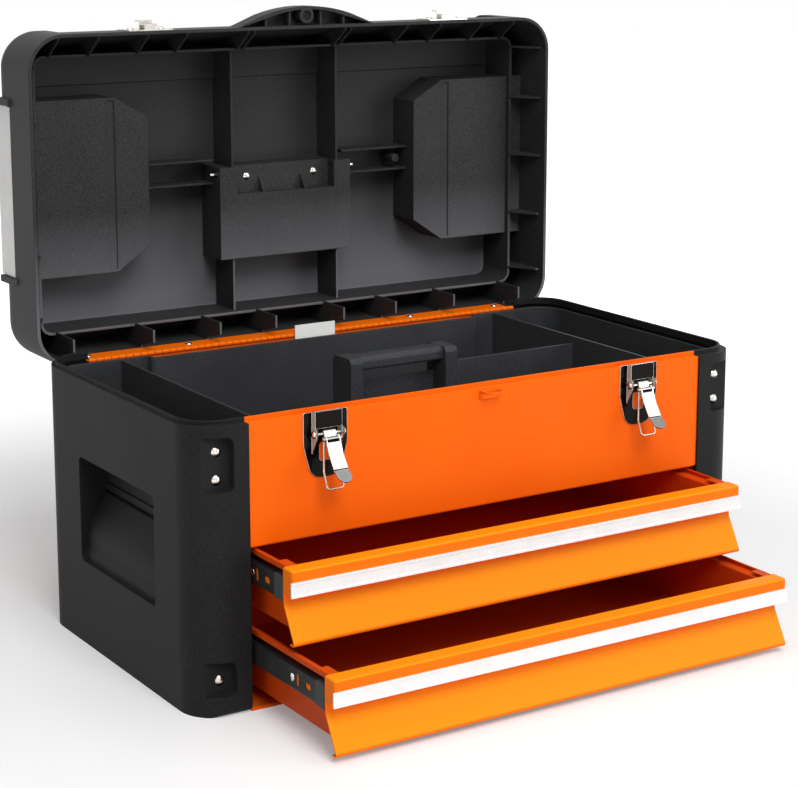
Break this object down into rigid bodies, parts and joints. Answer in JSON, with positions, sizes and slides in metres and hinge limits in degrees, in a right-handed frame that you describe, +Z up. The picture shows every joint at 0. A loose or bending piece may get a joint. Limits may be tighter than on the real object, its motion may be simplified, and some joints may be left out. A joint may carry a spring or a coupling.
{
  "type": "portable tool box with drawers",
  "caption": "Portable steel tool box with moulded end caps, full-width drawers, a lift-out tray and a hinged lid with side organizers.",
  "frame": {"origin": "centre of the case base, on the surface it stands on", "axes": "+Z up; the drawers open towards -Y; the hinge runs along X"},
  "size_m": [0.541, 0.4966, 0.5219],
  "materials": {
    "cap_plastic": "fine moulded grain",
    "lid_plastic": "fine moulded speckle",
    "tray_plastic": "fine moulded grain",
    "handle_plastic": "moulded",
    "orange_steel": "satin powder coat",
    "drawer_orange": "satin powder coat",
    "drawer_inside": "satin powder coat",
    "label_white": "ribbed, bright rims",
    "bright_steel": "bright plated",
    "runner_black": "satin black",
    "cage_steel": "plain",
    "bumper_rubber": "matt",
    "clear_cover": "frosted clear plastic"
  },
  "bodies": {
    "case": {"case_shell": "orange_steel", "front_panel": "orange_steel", "back_panel": "orange_steel", "right_end_cap": "cap_plastic", "left_end_cap": "cap_plastic", "cap_rivets": "bright_steel", "lock_staple": "orange_steel", "hinge_body_leaf": "orange_steel", "hinge_pin": "bright_steel", "hinge_rivets": "bright_steel", "hinge_centre_plate": "bright_steel", "right_latch_base": "bright_steel", "left_latch_base": "bright_steel", "latch_pins": "bright_steel", "latch_rivets": "bright_steel", "upper_case_runners": "runner_black", "lower_case_runners": "runner_black", "case_runner_rivets": "bright_steel"},
    "lid": {"lid_shell": "lid_plastic", "hinge_lid_leaf": "orange_steel", "hinge_screws": "bright_steel", "right_catch": "bright_steel", "left_catch": "bright_steel", "catch_screws": "bright_steel", "handle_rod": "bright_steel", "handle_screws": "bright_steel", "organizer_pins": "bright_steel"},
    "handle": {"carry_handle": "handle_plastic"},
    "right_cover": {"right_organizer_cover": "clear_cover"},
    "left_cover": {"left_organizer_cover": "clear_cover"},
    "tray": {"tote_tray": "tray_plastic"},
    "right_lever": {"right_latch_lever": "bright_steel"},
    "right_bail_carrier": {"right_bail_pin": "bright_steel"},
    "right_bail": {"right_latch_bail": "bright_steel"},
    "left_lever": {"left_latch_lever": "bright_steel"},
    "left_bail_carrier": {"left_bail_pin": "bright_steel"},
    "left_bail": {"left_latch_bail": "bright_steel"},
    "upper_drawer": {"upper_drawer_box": "drawer_inside", "upper_drawer_front_wall": "drawer_inside", "upper_drawer_back_wall": "drawer_inside", "upper_drawer_front": "drawer_orange", "upper_label_strip": "label_white", "upper_drawer_runners": "runner_black", "upper_runner_bumpers": "bumper_rubber", "upper_runner_screws": "bright_steel"},
    "upper_cages": {"upper_ball_cages": "cage_steel", "upper_runner_balls": "bright_steel"},
    "lower_drawer": {"lower_drawer_box": "drawer_inside", "lower_drawer_front_wall": "drawer_inside", "lower_drawer_back_wall": "drawer_inside", "lower_drawer_front": "drawer_orange", "lower_label_strip": "label_white", "lower_drawer_runners": "runner_black", "lower_runner_bumpers": "bumper_rubber", "lower_runner_screws": "bright_steel"},
    "lower_cages": {"lower_ball_cages": "cage_steel", "lower_runner_balls": "bright_steel"}
  },
  "joints": [
    {"name": "lid_hinge", "type": "hinge", "parent": "case", "child": "lid", "pos_m": [0, 0.13975, 0.2245], "axis": [-1, 0, 0], "range_deg": [-90, 0]},
    {"name": "carry_handle_fold", "type": "hinge", "parent": "lid", "child": "handle", "pos_m": [0, 0.19575, 0.3695], "axis": [1, 0, 0], "range_deg": [0, 73]},
    {"name": "right_cover_hinge", "type": "hinge", "parent": "lid", "child": "right_cover", "pos_m": [0.1475, 0.22275, 0.368], "axis": [0, 0, 1], "range_deg": [0, 90]},
    {"name": "left_cover_hinge", "type": "hinge", "parent": "lid", "child": "left_cover", "pos_m": [-0.1475, 0.22275, 0.368], "axis": [0, 0, -1], "range_deg": [0, 90]},
    {"name": "tray_lift", "type": "slide", "parent": "case", "child": "tray", "axis": [0, 0, 1], "range_m": [0, 0.12]},
    {"name": "right_lever_pivot", "type": "hinge", "parent": "case", "child": "right_lever", "pos_m": [0.1534, -0.14925, 0.214], "axis": [-1, 0, 0], "range_deg": [-35, 55]},
    {"name": "right_bail_plumb", "type": "hinge", "parent": "right_lever", "child": "right_bail_carrier", "pos_m": [0.1534, -0.15445, 0.21093], "axis": [-1, 0, 0], "range_deg": [-55, 35]},
    {"name": "right_bail_swing", "type": "hinge", "parent": "right_bail_carrier", "child": "right_bail", "pos_m": [0.1534, -0.15445, 0.21093], "axis": [1, 0, 0], "range_deg": [-180, 0]},
    {"name": "left_lever_pivot", "type": "hinge", "parent": "case", "child": "left_lever", "pos_m": [-0.1534, -0.14925, 0.214], "axis": [-1, 0, 0], "range_deg": [-35, 55]},
    {"name": "left_bail_plumb", "type": "hinge", "parent": "left_lever", "child": "left_bail_carrier", "pos_m": [-0.1534, -0.15445, 0.21093], "axis": [-1, 0, 0], "range_deg": [-55, 35]},
    {"name": "left_bail_swing", "type": "hinge", "parent": "left_bail_carrier", "child": "left_bail", "pos_m": [-0.1534, -0.15445, 0.21093], "axis": [1, 0, 0], "range_deg": [-180, 0]},
    {"name": "upper_drawer_slide", "type": "slide", "parent": "case", "child": "upper_drawer", "axis": [0, -1, 0], "range_m": [-0.0607, 0.1293]},
    {"name": "upper_cage_slide", "type": "slide", "parent": "case", "child": "upper_cages", "axis": [0, -1, 0], "range_m": [-0.03035, 0.06465]},
    {"name": "lower_drawer_slide", "type": "slide", "parent": "case", "child": "lower_drawer", "axis": [0, -1, 0], "range_m": [-0.1214, 0.0686]},
    {"name": "lower_cage_slide", "type": "slide", "parent": "case", "child": "lower_cages", "axis": [0, -1, 0], "range_m": [-0.0607, 0.0343]}
  ],
  "couplings": [
    {"joint": "right_bail_plumb", "follows": "right_lever_pivot", "ratio": -1},
    {"joint": "left_bail_plumb", "follows": "left_lever_pivot", "ratio": -1},
    {"joint": "upper_cage_slide", "follows": "upper_drawer_slide", "ratio": 0.5},
    {"joint": "lower_cage_slide", "follows": "lower_drawer_slide", "ratio": 0.5}
  ]
}
